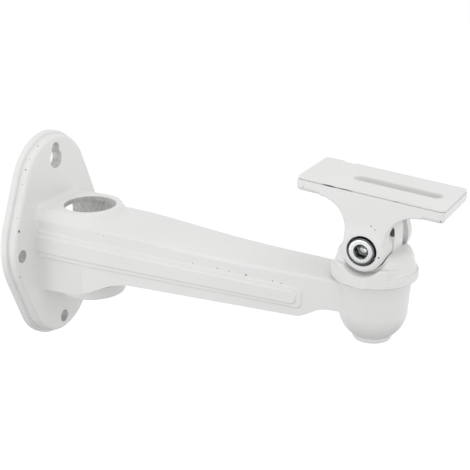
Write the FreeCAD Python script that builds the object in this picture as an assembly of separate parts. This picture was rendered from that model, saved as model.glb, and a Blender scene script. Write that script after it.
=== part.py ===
import FreeCAD, Part
import math
import os

from FreeCAD import Vector

# A wall bracket for a small camera: aluminium castings, painted white, held by two M8 screws.
# X runs out from the wall, Z is up, and the origin is the centre of the wall plate's back face.
# The swivel head turns on the cup at the arm's end, and the camera plate tilts on the head's tongue.

# Wall plate: a flange, a raised step on its front, and a shallow tray in its back
plate_height = 116.0
plate_width = 85.0
plate_end_radius = 31.0
plate_side_radius = 39.5
flange_thickness = 3.5
flange_rounding = 0.8
step_inset = 1.8
step_height = 4.8
step_rounding = 2.0
tray_front_wall = 3.5
tray_rim = 4.0

# Holes for the wall screws, each set in from the plate's edge, in a boss on the tray's floor
wall_screw_radius = 3.45
keyhole_radius = 5.25
keyhole_drop = 14.4
keyhole_slot_rise = 5.6
bottom_hole_rise = 9.0
side_hole_inset = 7.5
side_hole_z = -1.3
hole_boss_wall = 3.2
hole_boss_height = 2.5

# Arm root: the hollow housing round the cable bore
root_half_width = 21.4
root_top_half_width = 18.2
root_top_z = 21.0
root_bottom_z = -25.0
root_lean_z = -4.0
root_lean = 1.4
root_wall = 3.1
root_fillet = 2.6
cavity_rounding = 3.3
bore_x = 29.0
bore_radius = 14.0
bore_rounding = 0.8
bore_relief = 0.6
roof_fillet = 1.0
collar_front_wall = 3.0
collar_draft_deg = 30.7
collar_rounding = 1.1
lower_collar_wall = 3.8
lower_collar_drop = 3.4

# Beam: it tapers in plan from the root to the neck, with a crowned top above two creases
taper_start_x = 36.0
neck_x = 169.0
neck_half_width = 13.4
crease_z_wall = 15.9
crease_z_root = 14.1
crease_z_near = 10.6
crease_z_far = 8.4
crease_z_neck = 7.7
crown_root = 4.0
crown_near = 3.0
crown_far = 2.0
crown_neck = 1.0
crease_rounding_root = 0.5
crease_rounding_near = 1.3
crease_rounding = 1.6
near_station_x = 97.0
far_station_x = 138.0

# Underside of the arm: haunch, long straight, heel, and the rise to the neck
haunch_start_x = 27.0
haunch_end_x = 62.4
beam_bottom_z = -13.4
heel_x = 156.5
heel_z = -14.4
rise_end_x = 176.0
rise_end_z = -8.4
haunch_shares = ((0.34, 0.29), (0.65, 0.72))
haunch_end_slope = 0.14
rise_shares = ((0.21, 0.14), (0.55, 0.72))

# Raised panels on both sides of the arm, one tier on another
panel_end_x = 160.4
panel_top_z_wall = 10.4
panel_top_z_end = 0.4
panel_bottom_z_wall = -5.5
panel_bottom_z_end = -10.2
tier_inset_wall = 3.0
tier_inset_end = 1.9
tier_end_inset = 2.8
tier_height = 0.7
tier_bevel_share = 0.95
panel_corner = 3.0

# Cup at the arm's end, round the pan axis
pan_x = 192.3
cup_top_z = 9.0
cup_rim_radius = 18.2
cup_waist_radius = 17.0
cup_waist_z = -7.6
cup_side_share = 0.45
nub_radius = 9.8
nub_end_z = -24.0
nub_rounding = 1.5
spigot_radius = 13.0
socket_floor_z = -7.0
thread_run_out = 1.5

# Swivel head: lip, dome, pads beside the bosses, saddle and tongue
pivot_z = 27.6
lip_radius = 21.2
lip_height = 4.5
lip_rounding = 0.9
ledge_rise = 0.5
head_wall_radius = 20.1
head_shoulder_radius = 18.3
head_shoulder_z = 20.0
dome_top_z = 24.3
dome_top_radius = 13.4
dome_bulge_share = 0.72
pad_radius = 21.4
pad_top_z = 18.8
pad_half_angle = 37.0
pad_rounding = 1.0
pad_wing_radius = 20.3
pad_wing_top_z = 18.3
pad_wing_half_angle = 50.0
pad_facet_depth = 0.3
saddle_clearance = 0.5
saddle_step_y = 14.0
tongue_thickness = 12.4
tongue_half_width = 11.3
tongue_top = 12.0
tongue_corner = 5.5

# Camera plate, in its own level frame about the pivot
tilt_deg = 5.19
table_near_x = -36.9
table_far_x = 36.2
table_width = 37.6
table_top_z = 28.5
table_under_z = 21.7
table_corner = 2.4
table_under_rounding = 2.2
table_edge_rounding = 0.4
sheet_inset = 0.3
sheet_thickness = 0.8
groove_height = 0.5
groove_depth = 1.0
slot_near_x = -14.5
slot_far_x = 29.0
slot_width = 7.5
slot_rounding = 1.2
notch_x = -24.0
notch_width = 6.0
notch_depth = 1.7
waist_half_width = 10.1
wall_flank_radius = 14.4
far_flank_radius = 15.5
cheek_thickness = 5.8
cheek_rounding = 0.8
near_boss_radius = 10.6
near_boss_proud = 0.9
near_boss_rounding = 2.0
boss_flare_width = 1.7
boss_flare_run = 2.55
boss_flare_height = 0.55
far_boss_radius = 12.0
far_boss_rounding = 1.2
far_pad_radius = 9.0
tongue_gap = 0.1

# M8 fasteners: socket head screws, spring washers and a hexagon nut
screw_radius = 4.0
screw_head_radius = 6.5
screw_head_height = 8.0
screw_socket_flats = 6.0
screw_socket_depth = 4.0
screw_edge = 0.5
tilt_screw_length = 30.0
pan_screw_length = 20.0
washer_outer_radius = 7.2
washer_inner_radius = 4.1
washer_thickness = 2.0
washer_split = 1.2
washer_split_turn_deg = 25.0
nut_flats = 13.0
nut_height = 6.5
nut_edge = 1.0
nut_side_gap = 0.15
counterbore_radius = 7.5
tilt_head_proud = 1.0
pan_head_recess = 0.5

# Clearances
thread_gap = 0.05
through_gap = 0.25
spigot_gap = 0.05
spigot_end_gap = 0.3
seat_gap = 0.1

# How far fused pieces run into each other and cutters run past a face
embed = 3.0

# How close two places lie to count as the same, and the margin round an edge that is looked for
same_place = 0.02
search_margin = 0.1

# Sizes that follow from the ones above
plate_thickness = flange_thickness + step_height
tray_depth = plate_thickness - tray_front_wall
keyhole_z = plate_height / 2 - keyhole_drop
bottom_hole_z = bottom_hole_rise - plate_height / 2
side_hole_y = plate_width / 2 - side_hole_inset
pivot = Vector(pan_x, 0, pivot_z)
pan_counterbore_z = nub_end_z + pan_head_recess + screw_head_height + washer_thickness
cheek_inner_y = table_width / 2 - cheek_thickness
tongue_half = tongue_thickness / 2
cheek_gap_y = tongue_half + tongue_gap
near_face_y = -table_width / 2 - near_boss_proud
tilt_head_y = near_face_y - tilt_head_proud
tilt_seat_y = tilt_head_y + screw_head_height
tilt_counterbore_y = tilt_seat_y + washer_thickness


def line(start, end):
    return Part.LineSegment(start, end).toShape()


def arc(start, middle, end):
    return Part.Arc(start, middle, end).toShape()


def closed_loop(points):
    """Wire of straight edges through the points and back to the first."""
    return Part.makePolygon(points + [points[0]])


def fuse_all(shapes):
    return shapes[0].multiFuse(shapes[1:]).removeSplitter()


def rod(radius, start, direction, length):
    return Part.makeCylinder(radius, length, start, direction)


def edges_on_plane(shape, axis, value):
    """Edges that lie wholly in the plane where the axis (0, 1 or 2) has the value."""
    found = []
    for edge in shape.Edges:
        low = (edge.BoundBox.XMin, edge.BoundBox.YMin, edge.BoundBox.ZMin)[axis]
        high = (edge.BoundBox.XMax, edge.BoundBox.YMax, edge.BoundBox.ZMax)[axis]
        if abs(low - value) < same_place and abs(high - value) < same_place:
            found.append(edge)
    return found


def ring_edges(shape, axis, value, radius):
    """Circular edges of the given radius in the plane where the axis has the value."""
    found = []
    for edge in edges_on_plane(shape, axis, value):
        if isinstance(edge.Curve, Part.Circle) and abs(edge.Curve.Radius - radius) < same_place:
            found.append(edge)
    return found


def plate_outline(inset):
    """Outline of the wall plate in the plane X = 0: end arcs and side arcs joined by tangent lines."""
    end_r = plate_end_radius - inset
    side_r = plate_side_radius - inset
    end_z = plate_height / 2 - plate_end_radius
    side_y = plate_width / 2 - plate_side_radius
    span = math.hypot(side_y, end_z)
    turn = math.atan2(end_z, -side_y) - math.acos((side_r - end_r) / span)

    def on_end(angle, up):
        return Vector(0, end_r * math.cos(angle), up * (end_z + end_r * math.sin(angle)))

    def on_side(angle, out):
        return Vector(0, out * (side_y + side_r * math.cos(angle)), side_r * math.sin(angle))

    return Part.Wire([
        arc(on_end(turn, 1), on_end(math.pi / 2, 1), on_end(math.pi - turn, 1)),
        line(on_end(math.pi - turn, 1), on_side(turn, -1)),
        arc(on_side(turn, -1), on_side(0, -1), on_side(-turn, -1)),
        line(on_side(-turn, -1), on_end(math.pi - turn, -1)),
        arc(on_end(math.pi - turn, -1), on_end(math.pi / 2, -1), on_end(turn, -1)),
        line(on_end(turn, -1), on_side(-turn, 1)),
        arc(on_side(-turn, 1), on_side(0, 1), on_side(turn, 1)),
        line(on_side(turn, 1), on_end(turn, 1)),
    ])


def plate_slab(inset, thickness):
    return Part.Face(plate_outline(inset)).extrude(Vector(thickness, 0, 0))


def wall_plate_blank():
    flange = plate_slab(0, flange_thickness)
    flange = flange.makeFillet(flange_rounding, edges_on_plane(flange, 0, flange_thickness))
    step = plate_slab(step_inset, plate_thickness)
    step = step.makeFillet(step_rounding, edges_on_plane(step, 0, plate_thickness))
    return fuse_all([flange, step])


def wall_holes():
    """Where each wall screw goes: its Y, its Z and the radius of its hole."""
    return [
        (0, keyhole_z, keyhole_radius),
        (0, keyhole_z + keyhole_slot_rise, wall_screw_radius),
        (0, bottom_hole_z, wall_screw_radius),
        (side_hole_y, side_hole_z, wall_screw_radius),
        (-side_hole_y, side_hole_z, wall_screw_radius),
    ]


def tray_void():
    """The tray behind the plate, without the bosses round the screw holes."""
    void = plate_slab(tray_rim, tray_depth)
    foot = tray_depth - hole_boss_height
    bosses = []
    for y, z, radius in wall_holes():
        bosses.append(rod(radius + hole_boss_wall, Vector(foot, y, z), Vector(1, 0, 0), plate_thickness))
    return void.cut(fuse_all(bosses))


def hole_cutters():
    """Screw holes through the plate, with the keyhole's slot between its two circles."""
    reach = plate_thickness + 2 * embed
    cutters = []
    for y, z, radius in wall_holes():
        cutters.append(rod(radius, Vector(-embed, y, z), Vector(1, 0, 0), reach))
    slot = Part.makeBox(reach, 2 * wall_screw_radius, keyhole_slot_rise)
    slot.translate(Vector(-embed, -wall_screw_radius, keyhole_z))
    return cutters + [slot]


def half_width(x):
    """Half the arm's width in plan: level along the root, then an even taper to the neck and on."""
    slope = (root_half_width - neck_half_width) / (neck_x - taper_start_x)
    return root_half_width - slope * max(0, x - taper_start_x)


def plan_prism(extra):
    """The arm's plan outline, made wider by extra on each side, from well above to well below."""
    stations = [0, taper_start_x, pan_x]
    near = [Vector(x, -half_width(x) - extra, -plate_height) for x in stations]
    far = [Vector(x, half_width(x) + extra, -plate_height) for x in reversed(stations)]
    return Part.Face(closed_loop(near + far)).extrude(Vector(0, 0, 2 * plate_height))


def spline(points, start_direction, end_direction):
    curve = Part.BSplineCurve()
    curve.interpolate(Points=points, InitialTangent=start_direction, FinalTangent=end_direction)
    return curve.toShape()


def side_prism():
    """The arm's side view, wider than the arm: haunch, straight, heel and rise along its underside."""
    y = -root_half_width - 2 * embed

    def at(x, z):
        return Vector(x, y, z)

    top = root_top_z + embed
    back = plate_thickness / 2
    haunch_run = haunch_end_x - haunch_start_x
    haunch_rise = beam_bottom_z - root_bottom_z
    haunch_points = [at(haunch_start_x, root_bottom_z)]
    for along, up in haunch_shares:
        haunch_points.append(at(haunch_start_x + along * haunch_run, root_bottom_z + up * haunch_rise))
    haunch_points.append(at(haunch_end_x, beam_bottom_z))
    rise_run = rise_end_x - heel_x
    rise = rise_end_z - heel_z
    rise_points = [at(heel_x, heel_z)]
    for along, up in rise_shares:
        rise_points.append(at(heel_x + along * rise_run, heel_z + up * rise))
    rise_points.append(at(rise_end_x, rise_end_z))
    level = Vector(1, 0, 0)
    edges = [
        line(at(back, top), at(back, root_bottom_z)),
        line(at(back, root_bottom_z), haunch_points[0]),
        spline(haunch_points, level, Vector(1, 0, haunch_end_slope)),
        line(haunch_points[-1], rise_points[0]),
        spline(rise_points, level, level),
        line(rise_points[-1], at(pan_x, rise_end_z)),
        line(at(pan_x, rise_end_z), at(pan_x, top)),
        line(at(pan_x, top), at(back, top)),
    ]
    return Part.Face(Part.Wire(edges)).extrude(Vector(0, -2 * y, 0))


def beam_section(x, crease_z, crown, rounding):
    """Section of the beam at x: upright sides, rounded creases and a crowned top; its foot is cut later."""
    half = half_width(x)
    crown_r = (half * half + crown * crown) / (2 * crown)
    centre_z = crease_z + crown - crown_r
    round_y = half - rounding
    reach = crown_r - rounding
    round_z = centre_z + math.sqrt(reach * reach - round_y * round_y)
    lean = math.atan2(round_y, round_z - centre_z)
    join_y = crown_r * math.sin(lean)
    join_z = centre_z + crown_r * math.cos(lean)
    turn = (math.pi / 2 - lean) / 2
    bulge_y = round_y + rounding * math.cos(turn)
    bulge_z = round_z + rounding * math.sin(turn)
    foot = root_bottom_z + embed
    return Part.Wire([
        line(Vector(x, -half, foot), Vector(x, -half, round_z)),
        arc(Vector(x, -half, round_z), Vector(x, -bulge_y, bulge_z), Vector(x, -join_y, join_z)),
        arc(Vector(x, -join_y, join_z), Vector(x, 0, crease_z + crown), Vector(x, join_y, join_z)),
        arc(Vector(x, join_y, join_z), Vector(x, bulge_y, bulge_z), Vector(x, half, round_z)),
        line(Vector(x, half, round_z), Vector(x, half, foot)),
        line(Vector(x, half, foot), Vector(x, -half, foot)),
    ])


def beam_blank():
    """The beam from inside the root to the pan axis, lofted through five sections."""
    sections = [
        beam_section(taper_start_x, crease_z_root, crown_root, crease_rounding_root),
        beam_section(near_station_x, crease_z_near, crown_near, crease_rounding_near),
        beam_section(far_station_x, crease_z_far, crown_far, crease_rounding),
        beam_section(neck_x, crease_z_neck, crown_neck, crease_rounding),
        beam_section(pan_x - spigot_radius / 2, crease_z_neck - crown_neck, crown_neck, crease_rounding),
    ]
    return Part.makeLoft(sections, True, False)


def root_section(x, crease_z):
    """Section of the root at x: flat top, bevel to the crease, upright side, and a lean below."""
    half = half_width(x)
    slope = root_lean / (root_lean_z - root_bottom_z)
    foot = root_bottom_z - embed
    foot_half = half - slope * (root_lean_z - foot)
    right = [
        Vector(x, root_top_half_width, root_top_z),
        Vector(x, half, crease_z),
        Vector(x, half, root_lean_z),
        Vector(x, foot_half, foot),
    ]
    left = [Vector(p.x, -p.y, p.z) for p in reversed(right)]
    return closed_loop(right + left)


def root_crease_z(x):
    slope = (crease_z_wall - crease_z_root) / taper_start_x
    return crease_z_wall - slope * x


def collar_block():
    """Round front of the root's top: straight sides, then half a cone round the bore."""
    front_x = bore_x + bore_radius + collar_front_wall
    centre_x = front_x - root_top_half_width
    back = plate_thickness / 2
    wires = []
    for z in (root_top_z, 0):
        radius = root_top_half_width + (root_top_z - z) * math.tan(math.radians(collar_draft_deg))
        corners = [
            Vector(centre_x, radius, z),
            Vector(back, radius, z),
            Vector(back, -radius, z),
            Vector(centre_x, -radius, z),
        ]
        wires.append(Part.Wire([
            line(corners[0], corners[1]),
            line(corners[1], corners[2]),
            line(corners[2], corners[3]),
            arc(corners[3], Vector(centre_x + radius, 0, z), corners[0]),
        ]))
    return Part.makeLoft(wires, True, True)


def root_upper():
    """Top half of the root, above Z = 0, with its round front."""
    back = plate_thickness / 2
    front = bore_x + bore_radius + collar_front_wall + 2 * embed
    sections = [root_section(x, root_crease_z(x)) for x in (back, taper_start_x, front)]
    block = Part.makeLoft(sections, True, True)
    return block.common(collar_block())


def root_block(stations):
    """Ruled solid through the root's sections at the stations, each cut off level at its given top."""
    sections = []
    for x, top_z in stations:
        points = [v.Point for v in root_section(x, top_z).OrderedVertexes]
        sections.append(closed_loop([p for p in points if p.z < root_top_z - same_place]))
    return Part.makeLoft(sections, True, True)


def root_lower():
    """Root up to its creases, and the haunch that it leaves under the beam."""
    back = plate_thickness / 2
    under_crease_z = crease_z_near - 2 * crease_rounding
    root = root_block([(back, root_crease_z(back)), (taper_start_x, crease_z_root)])
    haunch = root_block([(taper_start_x, under_crease_z), (haunch_end_x + embed, under_crease_z)])
    return fuse_all([root, haunch])


def side_panel(inset_wall, inset_end, end_inset):
    """Outline of a raised panel in the side view, run out from the wall to a rounded end."""
    y = -plate_width
    end_x = panel_end_x - end_inset
    top_wall = Vector(plate_thickness / 2, y, panel_top_z_wall - inset_wall)
    top_end = Vector(end_x, y, panel_top_z_end - inset_end)
    low_end = Vector(end_x, y, panel_bottom_z_end + inset_end)
    low_wall = Vector(plate_thickness / 2, y, panel_bottom_z_wall + inset_wall)
    face = Part.Face(closed_loop([top_wall, top_end, low_end, low_wall]))
    block = face.extrude(Vector(0, -2 * y, 0))
    upright = []
    for edge in block.Edges:
        box = edge.BoundBox
        if abs(box.XMin - end_x) < same_place and box.YLength > plate_width:
            upright.append(edge)
    return block.makeFillet(panel_corner, upright)


def panel_tier(inset_wall, inset_end, end_inset, height):
    """One tier of the panels on both sides, its edges bevelled back to what it stands on."""
    tier = side_panel(inset_wall, inset_end, end_inset).common(plan_prism(height))
    front = []
    for edge in tier.Edges:
        middle = edge.valueAt((edge.FirstParameter + edge.LastParameter) / 2)
        on_face = abs(abs(middle.y) - half_width(middle.x) - height) < same_place
        box = edge.BoundBox
        if on_face and box.XLength > same_place:
            front.append(edge)
        elif on_face and box.ZLength > same_place and box.XMin > neck_x - 2 * root_half_width:
            front.append(edge)
    return tier.makeChamfer(tier_height * tier_bevel_share, front)


def cup_blank():
    """The cup turned about the pan axis: a drum, a bowl below it, and the nub under the bowl."""
    bowl_r = cup_waist_radius
    meet_z = cup_waist_z - math.sqrt(bowl_r * bowl_r - nub_radius * nub_radius)
    turn = (math.asin(nub_radius / bowl_r) + math.pi / 2) / 2
    bulge = Vector(pan_x + bowl_r * math.sin(turn), 0, cup_waist_z - bowl_r * math.cos(turn))
    side_r = bowl_r + cup_side_share * (cup_rim_radius - bowl_r)
    profile = Part.Wire([
        line(Vector(pan_x, 0, cup_top_z), Vector(pan_x + cup_rim_radius, 0, cup_top_z)),
        arc(Vector(pan_x + cup_rim_radius, 0, cup_top_z),
            Vector(pan_x + side_r, 0, (cup_top_z + cup_waist_z) / 2),
            Vector(pan_x + bowl_r, 0, cup_waist_z)),
        arc(Vector(pan_x + bowl_r, 0, cup_waist_z), bulge, Vector(pan_x + nub_radius, 0, meet_z)),
        line(Vector(pan_x + nub_radius, 0, meet_z), Vector(pan_x + nub_radius, 0, nub_end_z)),
        line(Vector(pan_x + nub_radius, 0, nub_end_z), Vector(pan_x, 0, nub_end_z)),
        line(Vector(pan_x, 0, nub_end_z), Vector(pan_x, 0, cup_top_z)),
    ])
    blank = Part.Face(profile).revolve(Vector(pan_x, 0, 0), Vector(0, 0, 1), 360)
    return blank.makeFillet(nub_rounding, ring_edges(blank, 2, nub_end_z, nub_radius))


def lower_collar():
    """Round collar under the root, on the cable bore's axis."""
    radius = bore_radius + lower_collar_wall
    length = lower_collar_drop + embed
    collar = rod(radius, Vector(bore_x, 0, root_bottom_z - lower_collar_drop), Vector(0, 0, 1), length)
    rim = ring_edges(collar, 2, root_bottom_z - lower_collar_drop, radius)
    return collar.makeFillet(collar_rounding, rim)


def cavity():
    """Hollow of the root, open through the back of the plate, with a round front behind the cable bore."""
    half = root_half_width - root_wall
    bottom = root_bottom_z + root_wall
    height = root_top_z - root_wall - bottom
    void = Part.makeBox(bore_x + embed, 2 * half, height, Vector(-embed, -half, bottom))
    long_edges = [e for e in void.Edges if e.BoundBox.XLength > bore_x]
    front = rod(bore_radius + bore_relief, Vector(bore_x, 0, bottom), Vector(0, 0, 1), height)
    return fuse_all([void.makeFillet(cavity_rounding, long_edges), front])


def cable_bore():
    top = root_top_z
    bottom = root_bottom_z - lower_collar_drop
    return rod(bore_radius, Vector(bore_x, 0, bottom - embed), Vector(0, 0, 1), top - bottom + 2 * embed)


def pan_socket():
    """What the cup holds: the spigot's socket, the screw's hole, and its counterbore from below."""
    up = Vector(0, 0, 1)
    socket = rod(spigot_radius, Vector(pan_x, 0, socket_floor_z), up, cup_top_z - socket_floor_z + embed)
    hole = rod(screw_radius + through_gap, Vector(pan_x, 0, nub_end_z - embed), up, cup_top_z - nub_end_z)
    bore_depth = pan_counterbore_z - nub_end_z + embed
    counterbore = rod(counterbore_radius, Vector(pan_x, 0, nub_end_z - embed), up, bore_depth)
    return [socket, hole, counterbore]


def roof_joint_edges(arm):
    """Edge where the front of the collar comes down on the beam's crowned top."""
    found = []
    for edge in arm.Edges:
        box = edge.BoundBox
        past_collar = box.XMax > bore_x + bore_radius + collar_front_wall and box.XMax < near_station_x
        in_front = box.XMin > taper_start_x - search_margin and past_collar
        if in_front and box.YLength > root_half_width and box.ZMin > crease_z_near:
            found.append(edge)
    return found


def root_foot_edges(arm):
    """Edges where the root stands on the wall plate's front face."""
    found = []
    for edge in edges_on_plane(arm, 0, plate_thickness):
        box = edge.BoundBox
        inside_sides = max(-box.YMin, box.YMax) < root_half_width + search_margin
        if inside_sides and box.ZMin > root_bottom_z - search_margin:
            found.append(edge)
    return found


def bracket_arm():
    """The arm casting: wall plate, hollow root, beam and cup in one piece."""
    profile = side_prism()
    beam = beam_blank().common(profile)
    root = root_lower().common(profile)
    tiers = [
        panel_tier(0, 0, 0, tier_height),
        panel_tier(tier_inset_wall, tier_inset_end, tier_end_inset, 2 * tier_height),
    ]
    arm = fuse_all([wall_plate_blank(), beam, root, root_upper(), lower_collar(), cup_blank()])
    arm = arm.makeFillet(root_fillet, root_foot_edges(arm))
    arm = arm.makeFillet(roof_fillet, roof_joint_edges(arm))
    arm = fuse_all([arm] + tiers)
    voids = [tray_void(), cavity(), cable_bore()] + hole_cutters() + pan_socket()
    arm = arm.cut(fuse_all(voids)).removeSplitter()
    rims = ring_edges(arm, 2, root_top_z, bore_radius)
    rims += ring_edges(arm, 2, root_bottom_z - lower_collar_drop, bore_radius)
    return arm.makeFillet(bore_rounding, rims)


def sector(half_angle, middle_angle, radius, bottom, top):
    """Wedge about the pan axis, from the bottom to the top height."""
    start = math.radians(middle_angle - half_angle)
    end = math.radians(middle_angle + half_angle)
    centre = Vector(pan_x, 0, bottom)

    def at(angle):
        return centre + Vector(radius * math.cos(angle), radius * math.sin(angle), 0)

    wire = Part.Wire([
        line(centre, at(start)),
        arc(at(start), at((start + end) / 2), at(end)),
        line(at(end), centre),
    ])
    return Part.Face(wire).extrude(Vector(0, 0, top - bottom))


def head_dome():
    """Lip, upright wall and dome of the swivel head, turned about the pan axis."""
    seat_z = cup_top_z + seat_gap
    ledge_z = cup_top_z + lip_height

    def at(radius, z):
        return Vector(pan_x + radius, 0, z)

    shoulder = at(head_shoulder_radius, head_shoulder_z)
    dome_edge = at(dome_top_radius, dome_top_z)
    bulge = at(
        dome_top_radius + dome_bulge_share * (head_shoulder_radius - dome_top_radius),
        head_shoulder_z + dome_bulge_share * (dome_top_z - head_shoulder_z),
    )
    profile = Part.Wire([
        line(at(0, seat_z), at(lip_radius, seat_z)),
        line(at(lip_radius, seat_z), at(lip_radius, ledge_z)),
        line(at(lip_radius, ledge_z), at(head_wall_radius, ledge_z + ledge_rise)),
        line(at(head_wall_radius, ledge_z + ledge_rise), shoulder),
        arc(shoulder, bulge, dome_edge),
        line(dome_edge, at(0, dome_top_z)),
        line(at(0, dome_top_z), at(0, seat_z)),
    ])
    dome = Part.Face(profile).revolve(Vector(pan_x, 0, 0), Vector(0, 0, 1), 360)
    rims = ring_edges(dome, 2, ledge_z, lip_radius) + ring_edges(dome, 2, seat_z, lip_radius)
    return dome.makeFillet(lip_rounding, rims)


def head_pads():
    """Thick pads of the swivel head under the camera plate's bosses, each with a lower wing at both ends."""
    seat_z = cup_top_z + seat_gap
    pads = []
    for radius, bottom, top, half_angle in (
        (pad_radius, seat_z, pad_top_z, pad_half_angle),
        (pad_wing_radius, cup_top_z + lip_height / 2, pad_wing_top_z, pad_wing_half_angle),
    ):
        drum = rod(radius, Vector(pan_x, 0, bottom), Vector(0, 0, 1), top - bottom)
        rims = ring_edges(drum, 2, top, radius)
        if bottom == seat_z:
            rims += ring_edges(drum, 2, bottom, radius)
        drum = drum.makeFillet(pad_rounding, rims)
        for angle in (90, -90):
            pads.append(drum.common(sector(half_angle, angle, 2 * radius, bottom, top)))
    return pads


def facets():
    """Shallow flats down the middle of both pads."""
    seat_z = cup_top_z + seat_gap
    cuts = []
    for y in (-pad_radius - embed, pad_radius - pad_facet_depth):
        corner = Vector(pan_x - pad_radius, y, seat_z - embed)
        width = embed + pad_facet_depth
        cuts.append(Part.makeBox(2 * pad_radius, width, pad_top_z - seat_z + 2 * embed, corner))
    return cuts


def tongue():
    """Upright tongue of the swivel head: two straight flanks and a level top with round corners."""
    foot = (cup_top_z + dome_top_z) / 2
    start = Vector(pan_x - tongue_half_width, -tongue_half, foot)
    block = Part.makeBox(2 * tongue_half_width, tongue_thickness, pivot_z + tongue_top - foot, start)
    crown = edges_on_plane(block, 2, pivot_z + tongue_top)
    corners = [e for e in crown if e.BoundBox.XLength < same_place]
    return block.makeFillet(tongue_corner, corners)


def saddles():
    """Round hollows beside the tongue that the cheeks' bosses turn in, the near one in two steps."""
    wide = far_boss_radius + saddle_clearance
    snug = near_boss_radius + saddle_clearance
    far = rod(wide, Vector(pan_x, tongue_half, pivot_z), Vector(0, 1, 0), 2 * lip_radius)
    near = rod(snug, Vector(pan_x, -tongue_half, pivot_z), Vector(0, -1, 0), 2 * lip_radius)
    outer = rod(wide, Vector(pan_x, -saddle_step_y, pivot_z), Vector(0, -1, 0), 2 * lip_radius)
    return [far, near, outer]


def swivel_head():
    """The head casting: it turns on the cup by its spigot and carries the tongue."""
    up = Vector(0, 0, 1)
    end_z = socket_floor_z + spigot_end_gap
    spigot = rod(spigot_radius - spigot_gap, Vector(pan_x, 0, end_z), up, cup_top_z + embed - end_z)
    body = fuse_all([head_dome(), spigot] + head_pads()).cut(fuse_all(saddles() + facets()))
    body = fuse_all([body, tongue()])
    top_z = pan_counterbore_z - washer_thickness + pan_screw_length + thread_run_out
    thread = rod(screw_radius + thread_gap, Vector(pan_x, 0, end_z - embed), up, top_z - end_z + embed)
    reach = 2 * tongue_thickness
    through = rod(screw_radius + through_gap, Vector(pan_x, -reach / 2, pivot_z), Vector(0, 1, 0), reach)
    return body.cut(fuse_all([thread, through]))


def table():
    """Flat top of the camera plate: a slab, a groove round its edge, a thin sheet, a slot and a notch."""
    def slab(inset, bottom, top):
        length = table_far_x - table_near_x - 2 * inset
        width = table_width - 2 * inset
        corner = Vector(table_near_x + inset, -width / 2, bottom)
        block = Part.makeBox(length, width, top - bottom, corner)
        upright = [e for e in block.Edges if e.BoundBox.ZLength > 0.5 * (top - bottom)]
        return block.makeFillet(table_corner, upright)

    groove_top = table_top_z - sheet_thickness
    groove_foot = groove_top - groove_height
    body = slab(0, table_under_z, groove_foot)
    body = body.makeFillet(table_under_rounding, end_edges(body))
    body = body.makeFillet(table_edge_rounding, edges_on_plane(body, 2, groove_foot))
    core = slab(groove_depth, table_under_z + embed, groove_top)
    sheet = slab(sheet_inset, groove_top, table_top_z)
    deep = table_top_z - table_under_z + 2 * embed
    round_x = slot_width / 2
    low_z = table_under_z - embed
    up = Vector(0, 0, 1)
    slot_box = Part.makeBox(slot_far_x - slot_near_x - slot_width, slot_width, deep)
    slot_box.translate(Vector(slot_near_x + round_x, -slot_width / 2, low_z))
    slot_ends = []
    for x in (slot_near_x + round_x, slot_far_x - round_x):
        slot_ends.append(rod(round_x, Vector(x, 0, low_z), up, deep))
    notch = Part.makeBox(notch_width, notch_depth + embed, deep)
    notch.translate(Vector(notch_x - notch_width / 2, table_width / 2 - notch_depth, low_z))
    whole = fuse_all([body, core, sheet]).cut(fuse_all([slot_box, notch] + slot_ends))
    rim = []
    for edge in edges_on_plane(whole, 2, table_top_z):
        box = edge.BoundBox
        in_width = max(-box.YMin, box.YMax) < slot_width / 2 + search_margin
        in_length = box.XMin > slot_near_x - search_margin and box.XMax < slot_far_x + search_margin
        if in_width and in_length:
            rim.append(edge)
    return whole.makeFillet(slot_rounding, rim)


def end_edges(body):
    """Edges across the two ends of the table's underside; their rounding runs on along its sides too."""
    found = []
    for edge in edges_on_plane(body, 2, table_under_z):
        if edge.BoundBox.XLength < same_place:
            found.append(edge)
    return found


def cheek_web(start_y, outer_y):
    """One cheek: flanks that sweep in below the table as two arcs, then run down to the boss."""
    top_z = table_under_z + embed
    slant = math.sqrt(0.5)

    def at(x, z):
        return Vector(x, start_y, z)

    def flank(side, radius):
        """Foot, bulge and start of one flank's arc, on the side towards the wall (-1) or away (1)."""
        foot = at(side * waist_half_width, table_under_z - radius)
        bulge = at(side * (waist_half_width + radius * (1 - slant)), table_under_z - radius * (1 - slant))
        return foot, bulge, at(side * (waist_half_width + radius), table_under_z)

    wall_foot, wall_bulge, wall_start = flank(-1, wall_flank_radius)
    far_foot, far_bulge, far_start = flank(1, far_flank_radius)
    outline = Part.Wire([
        line(at(wall_start.x, top_z), wall_start),
        arc(wall_start, wall_bulge, wall_foot),
        line(wall_foot, at(-waist_half_width, 0)),
        line(at(-waist_half_width, 0), at(waist_half_width, 0)),
        line(at(waist_half_width, 0), far_foot),
        arc(far_foot, far_bulge, far_start),
        line(far_start, at(far_start.x, top_z)),
        line(at(far_start.x, top_z), at(wall_start.x, top_z)),
    ])
    web = Part.Face(outline).extrude(Vector(0, cheek_thickness, 0))
    flanks = []
    for edge in edges_on_plane(web, 1, outer_y):
        middle = edge.valueAt((edge.FirstParameter + edge.LastParameter) / 2)
        if edge.BoundBox.ZLength > search_margin and middle.z < table_under_z:
            flanks.append(edge)
    return web.makeFillet(cheek_rounding, flanks)


def boss_flare():
    """Shallow cone that leads the near boss into the face of its cheek, kept inside the cheek's flanks."""
    cheek_y = -table_width / 2
    foot_radius = near_boss_radius + boss_flare_width
    top_radius = foot_radius - boss_flare_run
    cone = Part.makeCone(foot_radius, top_radius, boss_flare_height, Vector(0, cheek_y, 0), Vector(0, -1, 0))
    half = waist_half_width - cheek_rounding
    return cone.common(Part.makeBox(2 * half, near_boss_proud, foot_radius, Vector(-half, near_face_y, 0)))


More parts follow.
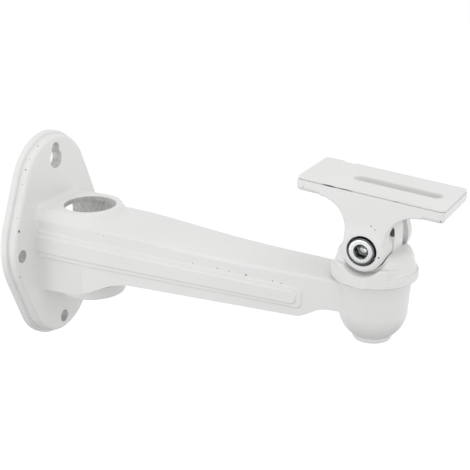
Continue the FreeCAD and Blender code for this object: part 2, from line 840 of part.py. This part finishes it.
def hexagon(flats, start, length):
    """Hexagonal prism along Y with two of its corners up and down."""
    radius = flats / math.sqrt(3)
    corners = []
    for k in range(6):
        angle = math.radians(60 * k + 30)
        corners.append(start + Vector(radius * math.cos(angle), 0, radius * math.sin(angle)))
    return Part.Face(closed_loop(corners)).extrude(Vector(0, length, 0))


def bosses():
    """Bosses of the two cheeks about the pivot: the near one is thick, the far one has an inner pad."""
    along = Vector(0, 1, 0)
    near = rod(near_boss_radius, Vector(0, near_face_y, 0), along, -cheek_gap_y - near_face_y)
    near = near.makeFillet(near_boss_rounding, ring_edges(near, 1, near_face_y, near_boss_radius))
    far_face_y = table_width / 2
    far = rod(far_boss_radius, Vector(0, cheek_inner_y, 0), along, cheek_thickness)
    far = far.makeFillet(far_boss_rounding, ring_edges(far, 1, far_face_y, far_boss_radius))
    pad_length = cheek_inner_y - cheek_gap_y + cheek_thickness / 2
    pad = rod(far_pad_radius, Vector(0, cheek_gap_y, 0), along, pad_length)
    return [near, far, pad]


def boss_voids():
    """Counterbore for the screw's head, the hole along the pivot and the pocket for the nut."""
    along = Vector(0, 1, 0)
    bore_depth = tilt_counterbore_y - near_face_y + embed
    counterbore = rod(counterbore_radius, Vector(0, near_face_y - embed, 0), along, bore_depth)
    hole = rod(screw_radius + through_gap, Vector(0, near_face_y, 0), along, table_width)
    pocket_y = table_width / 2 - nut_height
    pocket = hexagon(nut_flats + 2 * nut_side_gap, Vector(0, pocket_y, 0), nut_height + embed)
    return [counterbore, hole, pocket]


def tilted(shape):
    """Turns a piece of the camera plate from its level frame to its rest tilt about the pivot."""
    placed = shape.copy()
    placed.rotate(Vector(0, 0, 0), Vector(0, 1, 0), tilt_deg)
    placed.translate(pivot)
    return placed


def camera_plate():
    """The plate casting: table, two cheeks and their bosses."""
    half = table_width / 2
    webs = [cheek_web(-half, -half), cheek_web(cheek_inner_y, half)]
    body = fuse_all([table(), boss_flare()] + webs + bosses())
    return tilted(body.cut(fuse_all(boss_voids())))


def socket_screw(length):
    """Socket head screw along Y: its head's seat is at Y = 0, and its shank runs to +Y."""
    along = Vector(0, 1, 0)
    head = rod(screw_head_radius, Vector(0, -screw_head_height, 0), along, screw_head_height)
    head = head.makeFillet(screw_edge, ring_edges(head, 1, -screw_head_height, screw_head_radius))
    shank = rod(screw_radius, Vector(0, -embed, 0), along, length + embed)
    shank = shank.makeChamfer(screw_edge, ring_edges(shank, 1, length, screw_radius))
    socket = hexagon(screw_socket_flats, Vector(0, -screw_head_height - embed, 0), screw_socket_depth + embed)
    return fuse_all([head, shank]).cut(socket)


def spring_washer():
    """Split ring along Y: one face at Y = 0, the other at the washer's thickness."""
    along = Vector(0, 1, 0)
    ring = rod(washer_outer_radius, Vector(0, 0, 0), along, washer_thickness)
    ring = ring.cut(rod(washer_inner_radius, Vector(0, 0, 0), along, washer_thickness))
    gap = Part.makeBox(2 * washer_outer_radius, 3 * washer_thickness, washer_split)
    gap.translate(Vector(0, -washer_thickness, -washer_split / 2))
    gap.rotate(Vector(washer_outer_radius, washer_thickness / 2, 0), Vector(1, 0, 0), washer_split_turn_deg)
    return ring.cut(gap)


def upright(shape, z):
    """Turns a piece made along Y so that it points up, and puts it on the pan axis at the height z."""
    placed = shape.copy()
    placed.rotate(Vector(0, 0, 0), Vector(1, 0, 0), 90)
    placed.translate(Vector(pan_x, 0, z))
    return placed


def tilt_screw():
    screw = socket_screw(tilt_screw_length)
    screw.translate(Vector(0, tilt_seat_y, 0))
    return tilted(screw)


def tilt_spring_washer():
    washer = spring_washer()
    washer.translate(Vector(0, tilt_seat_y, 0))
    return tilted(washer)


def tilt_nut():
    """Hexagon nut in the far cheek's pocket, its outer face flush with the cheek."""
    start_y = table_width / 2 - nut_height
    body = hexagon(nut_flats, Vector(0, start_y, 0), nut_height)
    cone_r = nut_flats / math.sqrt(3)
    turned = rod(cone_r, Vector(0, start_y, 0), Vector(0, 1, 0), nut_height)
    rims = ring_edges(turned, 1, start_y + nut_height, cone_r)
    turned = turned.makeChamfer(nut_edge, rims)
    bore_start = Vector(0, start_y - embed, 0)
    hole = rod(screw_radius + thread_gap, bore_start, Vector(0, 1, 0), nut_height + 2 * embed)
    return tilted(body.common(turned).cut(hole))


def pan_screw():
    return upright(socket_screw(pan_screw_length), pan_counterbore_z - washer_thickness)


def pan_spring_washer():
    return upright(spring_washer(), pan_counterbore_z - washer_thickness)


pieces = {
    "bracket_arm": bracket_arm,
    "swivel_head": swivel_head,
    "camera_plate": camera_plate,
    "tilt_screw": tilt_screw,
    "tilt_spring_washer": tilt_spring_washer,
    "tilt_nut": tilt_nut,
    "pan_screw": pan_screw,
    "pan_spring_washer": pan_spring_washer,
}

os.makedirs("parts", exist_ok=True)
for name, make in pieces.items():
    shape = make()
    box = shape.optimalBoundingBox()
    print(name, "solids", len(shape.Solids), "valid", shape.isValid(), "volume", round(shape.Volume),
          "box", [round(v, 2) for v in (box.XMin, box.XMax, box.YMin, box.YMax, box.ZMin, box.ZMax)])
    shape.exportStep("parts/" + name + ".step")
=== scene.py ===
import math

import bpy
import numpy as np
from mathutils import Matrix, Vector


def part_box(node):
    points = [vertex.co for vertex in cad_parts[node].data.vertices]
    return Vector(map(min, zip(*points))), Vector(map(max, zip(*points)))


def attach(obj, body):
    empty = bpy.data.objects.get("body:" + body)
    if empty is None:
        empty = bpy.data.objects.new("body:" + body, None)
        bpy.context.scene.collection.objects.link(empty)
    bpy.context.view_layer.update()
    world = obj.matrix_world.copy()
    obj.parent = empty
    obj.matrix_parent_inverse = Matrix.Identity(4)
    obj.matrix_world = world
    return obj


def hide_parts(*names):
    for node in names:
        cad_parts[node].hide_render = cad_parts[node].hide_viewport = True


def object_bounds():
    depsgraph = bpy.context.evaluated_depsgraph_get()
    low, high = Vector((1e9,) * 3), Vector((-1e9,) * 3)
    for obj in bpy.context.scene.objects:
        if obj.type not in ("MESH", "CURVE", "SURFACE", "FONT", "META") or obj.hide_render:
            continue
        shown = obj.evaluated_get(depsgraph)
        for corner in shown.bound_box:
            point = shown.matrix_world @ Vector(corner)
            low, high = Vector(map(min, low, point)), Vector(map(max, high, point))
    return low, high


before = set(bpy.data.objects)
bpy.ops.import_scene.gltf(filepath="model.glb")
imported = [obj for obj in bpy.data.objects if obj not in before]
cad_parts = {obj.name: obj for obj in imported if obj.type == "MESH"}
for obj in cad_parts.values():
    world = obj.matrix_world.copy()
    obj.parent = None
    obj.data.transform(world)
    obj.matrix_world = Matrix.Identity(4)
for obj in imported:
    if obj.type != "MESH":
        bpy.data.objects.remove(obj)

cad_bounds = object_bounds()
MM = 0.001

# Arm casting
# Wall plate, hollow root, beam and cup are one piece of die-cast aluminium. It is shot-blasted and
# powder coated in gloss white, and screws hold its plate to the wall.
coat_white = "#F1F1F0"
coat_shade = "#E9E9E8"
# Bare metal in the chips; the same dark also paints shade in the line along the camera plate's table edge
bare_metal_and_shade = "#3B3B3A"
# Painted shade for the arm's hollows: two greys, mottled by noise
hollow_shade_colours = ("#D6D6D4", "#BDBDBB")
# Painted shade for the deep gap beside the swivel head's tongue: two dark greys
tongue_shade_colours = ("#5A5A59", "#434342")
coat_roughness = 0.36
coat_ior = 1.5
peel_grain_mm = 1.6
peel_height_mm = 0.012
shade_mottle_mm = 1.8
cast_wave_mm = 17.0
cast_wave_height_mm = 0.12
shade_patch_mm = 45.0
chip_noise_mm = 0.5
chip_raggedness = 1.1
chip_fade = (1.35, 1.75)
shade_mottle_spread = (0.36, 0.66)

# Each chip is a spot of bare metal: its centre and its half sizes along X, Y and Z, in millimetres
arm_chips = [
    ((8.3, -36.5, 13.3), (0.7, 0.6, 0.7)),
    ((6.6, -35.2, 20.1), (0.2, 0.4, 0.2)),
    ((5.9, -27.8, 36.3), (0.2, 0.4, 0.2)),
    ((5.8, -24.2, 43.3), (0.4, 0.4, 0.4)),
    ((5.7, -20.3, 48.0), (0.2, 0.4, 0.2)),
    ((5.9, -12.4, 53.4), (0.35, 0.4, 0.25)),
    ((8.0, -37.8, -12.0), (0.28, 0.4, 0.28)),
    ((47.0, -20.7, 13.1), (0.25, 0.3, 0.15)),
    ((50.0, -20.6, 12.4), (0.2, 0.3, 0.15)),
    ((101.2, -17.5, 4.9), (0.2, 0.3, 0.2)),
    ((114.8, -16.7, 4.3), (0.3, 0.3, 0.3)),
    ((121.3, -16.3, 3.7), (0.3, 0.3, 0.15)),
    ((130.5, -15.7, 3.2), (0.4, 0.3, 0.4)),
    ((144.7, -14.9, 2.3), (0.2, 0.3, 0.3)),
    ((149.2, -14.6, 1.7), (0.3, 0.3, 0.15)),
]

# The hollows are painted a mottled grey, a painted shade where little light reaches into them. Each is a box,
# an upright drum or a rod, with its centre and its half sizes, where a rod is an ellipsoid so long that it is
# straight where it meets the casting
bore_x = 29.0
root_middle_z = -2.0
root_half_height = 20.1
bore_rod = (14.1, 14.1, 300.0)
hole_rod = (40.0, 3.55, 3.55)
keyhole_rod = (40.0, 5.35, 5.35)
keyhole_z = 43.6
keyhole_slot_z = (48.0, 49.2)
bottom_hole_z = -49.0
side_hole_y = 35.0
side_hole_z = -1.3
arm_hollows = [
    ("box", (13.5, 0.0, root_middle_z), (15.6, 18.5, root_half_height)),
    ("drum", (bore_x, 0.0, root_middle_z), (14.7, 14.7, root_half_height)),
    ("rod", (bore_x, 0.0, 0.0), bore_rod),
    ("rod", (0.0, 0.0, keyhole_z), keyhole_rod),
    *[("rod", (0.0, 0.0, z), hole_rod) for z in keyhole_slot_z],
    ("rod", (0.0, 0.0, bottom_hole_z), hole_rod),
    *[("rod", (0.0, y, side_hole_z), hole_rod) for y in (side_hole_y, -side_hole_y)],
]


def linear(code):
    """Turns an sRGB hex colour into linear red, green, blue and an alpha of 1."""
    parts = [int(code[k:k + 2], 16) / 255 for k in (1, 3, 5)]
    bright = [v / 12.92 if v <= 0.04045 else ((v + 0.055) / 1.055) ** 2.4 for v in parts]
    return (*bright, 1.0)


def add_node(tree, kind, inputs=None, **settings):
    """Adds a node, with its settings, and with each input set to a value or linked to a socket. A colour
    mix takes its two colours as inputs 6 and 7, and gives the mixed one as output 2."""
    made = tree.nodes.new(kind)
    for name, value in settings.items():
        setattr(made, name, value)
    for key, value in (inputs or {}).items():
        if isinstance(value, bpy.types.NodeSocket):
            tree.links.new(value, made.inputs[key])
        else:
            made.inputs[key].default_value = value
    return made


def new_material(name):
    """An empty node material, with its tree, its place reading and its surface shader."""
    material = bpy.data.materials.new(name)
    material.use_nodes = True
    tree = material.node_tree
    tree.nodes.clear()
    place = add_node(tree, "ShaderNodeTexCoord").outputs["Object"]
    shader = add_node(tree, "ShaderNodeBsdfPrincipled")
    add_node(tree, "ShaderNodeOutputMaterial", {"Surface": shader.outputs["BSDF"]})
    return material, tree, place, shader


def scaled_distance(tree, place, kind, centre, half_sizes, tilt):
    """Distance from the centre in half sizes: straight for a rod, the largest share of the three for a box,
    and for a drum the larger of its distance in plan and its share of the height."""
    spot = add_node(tree, "ShaderNodeMapping", {
        "Vector": place,
        "Location": [v * MM for v in centre],
        "Rotation": (0, tilt, 0),
        "Scale": [v * MM for v in half_sizes],
    }, vector_type="TEXTURE").outputs[0]
    if kind == "rod":
        return add_node(tree, "ShaderNodeVectorMath", {0: spot}, operation="LENGTH").outputs["Value"]
    share = add_node(tree, "ShaderNodeVectorMath", {0: spot}, operation="ABSOLUTE").outputs[0]
    x, y, z = add_node(tree, "ShaderNodeSeparateXYZ", {0: share}).outputs
    if kind == "box":
        wider = add_node(tree, "ShaderNodeMath", {0: x, 1: y}, operation="MAXIMUM").outputs[0]
    else:
        flat = add_node(tree, "ShaderNodeVectorMath", {0: spot, 1: (1, 1, 0)}, operation="MULTIPLY")
        wider = add_node(
            tree, "ShaderNodeVectorMath", {0: flat.outputs[0]}, operation="LENGTH").outputs["Value"]
    return add_node(tree, "ShaderNodeMath", {0: wider, 1: z}, operation="MAXIMUM").outputs[0]


def nearest_of(tree, place, spots, tilt):
    """The least of the spots' scaled distances."""
    nearest = None
    for kind, centre, half_sizes in spots:
        reach = scaled_distance(tree, place, kind, centre, half_sizes, tilt)
        if nearest is not None:
            reach = add_node(tree, "ShaderNodeMath", {0: nearest, 1: reach}, operation="MINIMUM").outputs[0]
        nearest = reach
    return nearest


def painted_shade_mask(tree, place, shade_spots, tilt):
    """1 inside the spots painted with shade and 0 outside."""
    nearest = nearest_of(tree, place, shade_spots, tilt)
    return add_node(tree, "ShaderNodeMath", {0: nearest, 1: 1.0}, operation="LESS_THAN").outputs[0]


def chip_and_shade_mask(tree, place, chips_and_shade, tilt):
    """1 inside the chips and the painted shade marks and 0 outside: the least of their scaled distances, made
    ragged by noise.
    """
    ragged = add_node(tree, "ShaderNodeTexNoise", {
        "Vector": place, "Scale": 1 / (chip_noise_mm * MM), "Detail": 2.0, "Roughness": 0.6})
    nearest = nearest_of(tree, place, [("rod", *chip) for chip in chips_and_shade], tilt)
    shaken = add_node(tree, "ShaderNodeMath", {
        0: ragged.outputs["Fac"], 1: chip_raggedness, 2: nearest}, operation="MULTIPLY_ADD").outputs[0]
    return add_node(tree, "ShaderNodeMapRange", {
        "Value": shaken,
        "From Min": chip_fade[0],
        "From Max": chip_fade[1],
        "To Min": 1.0,
        "To Max": 0.0,
    }).outputs["Result"]


def powder_coat(name, chips_and_shade, shade_spots=(), shade_colours=hollow_shade_colours, tilt=0.0):
    """Gloss white powder coat on a casting: slight orange peel over the metal's soft waves."""
    material, tree, place, shader = new_material(name)
    patch = add_node(tree, "ShaderNodeTexNoise", {
        "Vector": place, "Scale": 1 / (shade_patch_mm * MM), "Detail": 3.0})
    coat = add_node(tree, "ShaderNodeMix", {
        "Factor": patch.outputs["Fac"], 6: linear(coat_white), 7: linear(coat_shade)},
        data_type="RGBA").outputs[2]
    wave = add_node(tree, "ShaderNodeTexNoise", {
        "Vector": place, "Scale": 1 / (cast_wave_mm * MM), "Detail": 1.0})
    peel = add_node(tree, "ShaderNodeTexNoise", {
        "Vector": place, "Scale": 1 / (peel_grain_mm * MM), "Detail": 2.0})
    waves = add_node(tree, "ShaderNodeBump", {
        "Height": wave.outputs["Fac"], "Distance": cast_wave_height_mm * MM, "Strength": 1.0})
    skin = add_node(tree, "ShaderNodeBump", {
        "Height": peel.outputs["Fac"], "Distance": peel_height_mm * MM, "Strength": 1.0,
        "Normal": waves.outputs["Normal"]})
    shader.inputs["IOR"].default_value = coat_ior
    shader.inputs["Roughness"].default_value = coat_roughness
    tree.links.new(skin.outputs["Normal"], shader.inputs["Normal"])
    # Painted shade: the spots given take a mottled grey or dark grey
    if shade_spots:
        mask = painted_shade_mask(tree, place, shade_spots, tilt)
        shade_mottle = add_node(tree, "ShaderNodeTexNoise", {
            "Vector": place, "Scale": 1 / (shade_mottle_mm * MM), "Detail": 3.0, "Roughness": 0.6})
        spread = add_node(tree, "ShaderNodeMapRange", {
            "Value": shade_mottle.outputs["Fac"], "From Min": shade_mottle_spread[0], "From Max": shade_mottle_spread[1]})
        shade_tone = add_node(tree, "ShaderNodeMix", {
            "Factor": spread.outputs["Result"], 6: linear(shade_colours[0]), 7: linear(shade_colours[1])},
            data_type="RGBA")
        coat = add_node(tree, "ShaderNodeMix", {
            "Factor": mask, 6: coat, 7: shade_tone.outputs[2]}, data_type="RGBA").outputs[2]
    # Chips of bare metal, and marks of painted shade, take the dark colour
    if chips_and_shade:
        mask = chip_and_shade_mask(tree, place, chips_and_shade, tilt)
        coat = add_node(tree, "ShaderNodeMix", {
            "Factor": mask, 6: coat, 7: linear(bare_metal_and_shade)}, data_type="RGBA").outputs[2]
    tree.links.new(coat, shader.inputs["Base Color"])
    return material


def dress(node, material):
    """Gives a piece of the frame its material."""
    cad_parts[node].material_slots[0].material = material


dress("bracket_arm", powder_coat("arm_powder_coat", arm_chips, arm_hollows))

# Swivel head
# One aluminium casting in the same white coat. Its spigot turns in the cup, and the screw from below
# clamps it there. Both faces of its tongue are painted dark above the camera plate's bosses, a painted shade
# in the deep gap there.
pan_x = 192.3
pivot_z = 27.6
tongue_face_y = 6.2
tongue_shade_z = 36.6
tongue_shade_size = (12.0, 0.05, 4.4)
tongue_shade_boxes = [
    ("box", (pan_x, -tongue_face_y, tongue_shade_z), tongue_shade_size),
    ("box", (pan_x, tongue_face_y, tongue_shade_z), tongue_shade_size),
]

dress("swivel_head", powder_coat("head_powder_coat", [], tongue_shade_boxes, tongue_shade_colours))

# Camera plate
# Table, cheeks and bosses are one aluminium casting in the same white coat. A dark line is painted along
# the foot of the table's stepped edge, a painted shade in the corner there, and a few small chips show bare
# metal.
plate_tilt = math.radians(5.19)


def on_plate(x, y, z):
    """Turns a place in the plate's level frame about the pivot into one in the part's frame."""
    c, s = math.cos(plate_tilt), math.sin(plate_tilt)
    return pan_x + c * x + s * z, y, pivot_z - s * x + c * z


plate_chips_and_edge_shade = [
    # The first three are no chips: a painted shade along the foot of the table's stepped edge
    (on_plate(-20.3, -18.2, 27.5), (3.9, 0.9, 0.34)),
    (on_plate(-12.5, -18.3, 27.5), (4.4, 0.8, 0.26)),
    (on_plate(12.8, -18.3, 27.5), (1.5, 0.8, 0.2)),
    (on_plate(-32.9, -18.8, 24.0), (0.22, 0.4, 0.22)),
    (on_plate(34.7, -18.7, 23.2), (0.35, 0.5, 0.3)),
    (on_plate(8.7, -19.7, -1.1), (0.4, 0.5, 0.4)),
    (on_plate(4.9, -18.8, 11.7), (0.3, 0.5, 0.25)),
    (on_plate(2.8, -18.8, 13.0), (0.4, 0.5, 0.2)),
]

dress("camera_plate", powder_coat("plate_powder_coat", plate_chips_and_edge_shade, tilt=plate_tilt))

# Screws
# M8 socket head screws of zinc-plated steel, cold headed, with a hexagon socket and rolled threads.
# One clamps the camera plate on the tongue, and one clamps the head on the cup from below.
steel_bright = "#DDDEDF"
steel_dull = "#B2B4B5"
# A darker copy of the plated steel, painted shade for the socket and the head's side
shade_steel_bright = "#8E8F90"
shade_steel_dull = "#565859"
steel_roughness = (0.16, 0.34)
steel_grain_mm = 0.7
steel_grain_height_mm = 0.01
smooth_angle_deg = 32.0
screw_size = 8.0
screw_head_size = 13.0
screw_head_height = 8.0
screw_socket_flats = 6.0
screw_socket_depth = 4.0
screw_head_round = 0.9
screw_socket_mouth = 3.6
screw_socket_taper = 0.98
screw_cone_depth = 0.45
screw_rim_depth = 0.12
screw_fine_edge = 0.1
screw_seat_inset = 0.3
screw_seat_height = 0.4
screw_neck_width = 0.2
screw_neck_height = 0.3
screw_pitch = 1.25
screw_thread_depth = 0.6
screw_thread_start = 2.5
screw_thread_run_out = 0.4
screw_tip_length = 0.8
knurl_count = 48
knurl_depth = 0.12
knurl_top_margin = 0.3
knurl_low_margin = 0.7
screw_columns = 96
head_top_shares = (0.35, 0.7, 1.0)
head_round_rows = 5
knurl_rows = 4
thread_rows_per_pitch = 8

# Each ring of the drilled point: its radius, and its depth below the socket's floor
screw_point_rings = ((0.05, 0.9), (1.9, 0.5))

# Each ring of the tip: its inset from the shank, and its distance back from the end
screw_tip_rings = ((0.25, 0.6), (0.9, 0.0), (3.0, 0.0))

around = np.linspace(0, 2 * math.pi, screw_columns, endpoint=False)


def plated_steel(name, bright, dull):
    """Bright zinc plate on steel: a metal with a fine, slightly uneven grain."""
    material, tree, place, shader = new_material(name)
    grain = add_node(tree, "ShaderNodeTexNoise", {
        "Vector": place, "Scale": 1 / (steel_grain_mm * MM), "Detail": 3.0})
    colour = add_node(tree, "ShaderNodeMix", {
        "Factor": grain.outputs["Fac"], 6: linear(bright), 7: linear(dull)}, data_type="RGBA")
    rough = add_node(tree, "ShaderNodeMapRange", {
        "Value": grain.outputs["Fac"], "To Min": steel_roughness[0], "To Max": steel_roughness[1]})
    skin = add_node(tree, "ShaderNodeBump", {
        "Height": grain.outputs["Fac"], "Distance": steel_grain_height_mm * MM})
    shader.inputs["Metallic"].default_value = 1.0
    tree.links.new(colour.outputs[2], shader.inputs["Base Color"])
    tree.links.new(rough.outputs["Result"], shader.inputs["Roughness"])
    tree.links.new(skin.outputs["Normal"], shader.inputs["Normal"])
    return material


def hexagon(flats):
    """Radius of a hexagon at each angle: half its flats over the cosine of the turn from the nearest flat."""
    sixth = math.pi / 3
    return flats / 2 / np.cos((around % sixth) - sixth / 2)


def ring(radius, height):
    """Points at the radius, which is a number or one value for each angle, at a height along the axis."""
    radius = np.broadcast_to(np.asarray(radius, float), around.shape)
    height = np.broadcast_to(np.asarray(height, float), around.shape)
    return np.stack([radius * np.cos(around), height, -radius * np.sin(around)], axis=1)


def surface_of(name, rings, shaded):
    """Mesh through the rings, joined row to row, with both ends capped; the rows listed as shaded take the
    second material, a darker copy of the steel that paints shade on them."""
    points = np.concatenate(rings) * MM
    rows, columns = len(rings), len(rings[0])
    index = np.arange(rows * columns).reshape(rows, columns)
    a, b = index[:-1], index[1:]
    quads = np.stack([a, np.roll(a, -1, axis=1), np.roll(b, -1, axis=1), b], axis=-1).reshape(-1, 4)
    first, last = points[:columns].mean(axis=0), points[-columns:].mean(axis=0)
    points = np.concatenate([points, [first, last]])
    count = rows * columns
    caps = [[count, index[0, (k + 1) % columns], index[0, k]] for k in range(columns)]
    caps += [[count + 1, index[-1, k], index[-1, (k + 1) % columns]] for k in range(columns)]
    mesh = bpy.data.meshes.new(name)
    mesh.from_pydata(points.tolist(), [], quads.tolist() + caps)
    row_slots = np.isin(np.arange(rows - 1), shaded).astype(int)
    slots = np.concatenate([np.repeat(row_slots, columns), np.zeros(len(caps), int)])
    mesh.polygons.foreach_set("material_index", slots)
    made = bpy.data.objects.new(name, mesh)
    bpy.context.scene.collection.objects.link(made)
    return made


def soften(piece):
    """Shades the piece smooth, apart from its sharp edges."""
    piece.data.shade_smooth()
    piece.data.set_sharp_from_angle(angle=math.radians(smooth_angle_deg))


def screw_rings(length):
    """Rings of a socket screw along Y with its seat at 0: socket floor, wall, head, shank, thread and tip.
    The thread's radius falls from its crest by the depth times a rounded wave, which is half of one less the
    cosine of the height in pitches less the turn."""
    head_r = screw_head_size / 2
    shank_r = screw_size / 2
    top = -screw_head_height
    floor = top + screw_socket_depth
    hexes = hexagon(screw_socket_flats)
    mouth = screw_socket_mouth
    flat_end = head_r - screw_head_round
    rings = [ring(radius, floor + depth) for radius, depth in screw_point_rings]
    rings += [ring(hexes * screw_socket_taper, floor), ring(hexes, floor - screw_fine_edge)]
    rings.append(ring(hexes, top + screw_cone_depth))
    rings.append(ring(np.maximum(hexes, mouth * screw_socket_taper), top + screw_rim_depth))
    rings.append(ring(np.maximum(hexes, mouth) + screw_fine_edge, top))
    for share in head_top_shares:
        rings.append(ring(mouth + share * (flat_end - mouth), top))
    for turn in np.linspace(0, math.pi / 2, head_round_rows + 1)[1:]:
        radius = head_r - screw_head_round * (1 - math.sin(turn))
        rings.append(ring(radius, top + screw_head_round * (1 - math.cos(turn))))
    knurl = knurl_depth * (1 - np.cos(knurl_count * around)) / 2
    knurl_top = top + screw_head_round + knurl_top_margin
    for height in np.linspace(knurl_top, -knurl_low_margin, knurl_rows):
        rings.append(ring(head_r - knurl, height))
    rings += [ring(head_r, -screw_seat_height), ring(head_r - screw_seat_inset, 0)]
    rings += [ring(shank_r + screw_neck_width, 0), ring(shank_r, screw_neck_height)]
    start, end = screw_thread_start, length - screw_tip_length
    for height in np.arange(start, end, screw_pitch / thread_rows_per_pitch):
        wave = 0.5 - 0.5 * np.cos(2 * math.pi * height / screw_pitch - around)
        fade = min(1.0, (height - start) / screw_pitch, (end - height) / screw_thread_run_out)
        rings.append(ring(shank_r - screw_thread_depth * fade * wave, height))
    return rings + [ring(shank_r - inset, length - back) for inset, back in screw_tip_rings]


def upright(rings, place):
    """Turns rings made along Y so that they run up along Z, and moves them to the place."""
    return [np.stack([x, -z, y], axis=1) + place for x, y, z in (r.T for r in rings)]


def tilted(rings, place):
    """Turns rings about Y by the plate's tilt and moves them to the place."""
    c, s = math.cos(plate_tilt), math.sin(plate_tilt)
    return [np.stack([c * x + s * z, y, c * z - s * x], axis=1) + place for x, y, z in (r.T for r in rings)]


def middle(node):
    """Centre, low corner and high corner of a node's box, in millimetres."""
    low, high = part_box(node)
    low, high = np.array(low) / MM, np.array(high) / MM
    return (low + high) / 2, low, high


def hand_in(piece, body, node):
    """A finished screw takes its materials, rides on its body and stands for its node."""
    piece.data.materials.append(steel)
    piece.data.materials.append(shaded_steel)
    soften(piece)
    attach(piece, body)
    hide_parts(node)


steel = plated_steel("zinc_plated_steel", steel_bright, steel_dull)
# The second copy is darker: painted shade for the socket and the head's side
shaded_steel = plated_steel("shaded_zinc_plate", shade_steel_bright, shade_steel_dull)

# Painted shade: the rows in the socket and those on the head's round edge and knurled side take a darker copy
# of the steel
socket_rows = range(1, 6)
head_side_rows = range(10, 19)
shaded_rows = [*socket_rows, *head_side_rows]

centre, low, high = middle("tilt_screw")
tilt_length = high[1] - low[1] - screw_head_height
tilt_seat = np.array([centre[0], low[1] + screw_head_height, centre[2]])
tilt_rings = tilted(screw_rings(tilt_length), tilt_seat)
hand_in(surface_of("tilt_screw_dressed", tilt_rings, shaded_rows), "plate", "tilt_screw")

centre, low, high = middle("pan_screw")
pan_length = high[2] - low[2] - screw_head_height
pan_seat = np.array([centre[0], centre[1], low[2] + screw_head_height])
pan_rings = upright(screw_rings(pan_length), pan_seat)
hand_in(surface_of("pan_screw_dressed", pan_rings, shaded_rows), "head", "pan_screw")

# The washers and the nut keep the meshes of their solids
for node in ("tilt_spring_washer", "pan_spring_washer", "tilt_nut"):
    dress(node, steel)

# Floor, light and camera
# A pale seamless floor under soft studio light. The light also meets a bounce floor and a grey card, which
# keeps the bracket's undersides in shade, and the camera sees only the plain floor that lies over both.
# The camera stands where the photograph's did.
floor_drop = 0.26
floor_half = 40.0
bounce_half = 4.0
floor_white = "#FBFBFB"
floor_glow = 0.24
floor_roughness = 0.9
card_grey = "#9C9C9C"
card_half = 0.5
card_shift = 0.27
card_lift = 0.004
camera_azimuth = math.radians(26.56)
camera_elevation = math.radians(19.9)
camera_distance = 0.6063
camera_aim = Vector((0.11654, 0.0, 0.01707))
camera_focal_px = 1187.8
picture_px = 470
sensor_mm = 36.0
near_clip = 0.01
studio_white = "#FFFFFF"
world_strength = 0.79
away = Vector((
    math.sin(camera_azimuth) * math.cos(camera_elevation),
    -math.cos(camera_azimuth) * math.cos(camera_elevation),
    math.sin(camera_elevation),
))

# Each softbox: its name, place, aim, size in metres and watts
softboxes = [
    ("overhead_softbox", (0.1, -0.2, 1.3), (0.1, 0, 0), 1.6, 3.3),
    ("right_softbox", (1.5, -0.5, 0.35), (0.05, 0, 0), 1.2, 1.3),
    ("low_softbox", (-0.4, -1.0, -0.4), (0.1, 0, 0), 0.8, 3.9),
]


def soft_light(name, place, aim, size, watts):
    """A square softbox that faces the aim."""
    lamp = bpy.data.lights.new(name, "AREA")
    lamp.size = size
    lamp.energy = watts
    holder = bpy.data.objects.new(name, lamp)
    holder.location = place
    holder.rotation_euler = (Vector(aim) - Vector(place)).to_track_quat("-Z", "Y").to_euler()
    bpy.context.scene.collection.objects.link(holder)


def level_sheet(name, centre, half, height, turn, colour, glow):
    """A square sheet that lies level at the height, turned about its centre."""
    c, s = math.cos(turn), math.sin(turn)
    corners = []
    for x, y in ((-half, -half), (half, -half), (half, half), (-half, half)):
        corners.append((centre[0] + c * x - s * y, centre[1] + s * x + c * y, height))
    mesh = bpy.data.meshes.new(name)
    mesh.from_pydata(corners, [], [(0, 1, 2, 3)])
    made = bpy.data.objects.new(name, mesh)
    bpy.context.scene.collection.objects.link(made)
    material, tree, place, shader = new_material(name)
    shader.inputs["Base Color"].default_value = linear(colour)
    shader.inputs["Roughness"].default_value = floor_roughness
    shader.inputs["Emission Color"].default_value = linear(colour)
    shader.inputs["Emission Strength"].default_value = glow
    mesh.materials.append(material)
    return made


bounce_level = cad_bounds[0][2] - floor_drop
card_level = bounce_level + card_lift
floor_level = card_level + card_lift
bounce_floor = level_sheet("bounce_floor", (0, 0), bounce_half, bounce_level, 0, floor_white, floor_glow)
toward = Vector((math.sin(camera_azimuth), -math.cos(camera_azimuth)))
card_centre = Vector(camera_aim[:2]) + card_shift * toward
grey_card = level_sheet("grey_card", card_centre, card_half, card_level, camera_azimuth, card_grey, 0)
for sheet in (bounce_floor, grey_card):
    sheet.visible_camera = False
seamless_floor = level_sheet("seamless_floor", (0, 0), floor_half, floor_level, 0, floor_white, floor_glow)
seamless_floor.visible_diffuse = False
seamless_floor.visible_glossy = False
seamless_floor.visible_shadow = False
for softbox in softboxes:
    soft_light(*softbox)

world = bpy.data.worlds.new("studio")
world.use_nodes = True
world.node_tree.nodes["Background"].inputs["Color"].default_value = linear(studio_white)
world.node_tree.nodes["Background"].inputs["Strength"].default_value = world_strength
bpy.context.scene.world = world
bpy.context.scene.view_settings.view_transform = "Standard"

lens = bpy.data.cameras.new("photo_camera")
lens.sensor_width = sensor_mm
lens.lens = camera_focal_px / picture_px * sensor_mm
lens.clip_start = near_clip
camera = bpy.data.objects.new("photo_camera", lens)
camera.location = camera_aim + camera_distance * away
camera.rotation_euler = (-away).to_track_quat("-Z", "Y").to_euler()
bpy.context.scene.collection.objects.link(camera)
bpy.context.scene.camera = camera
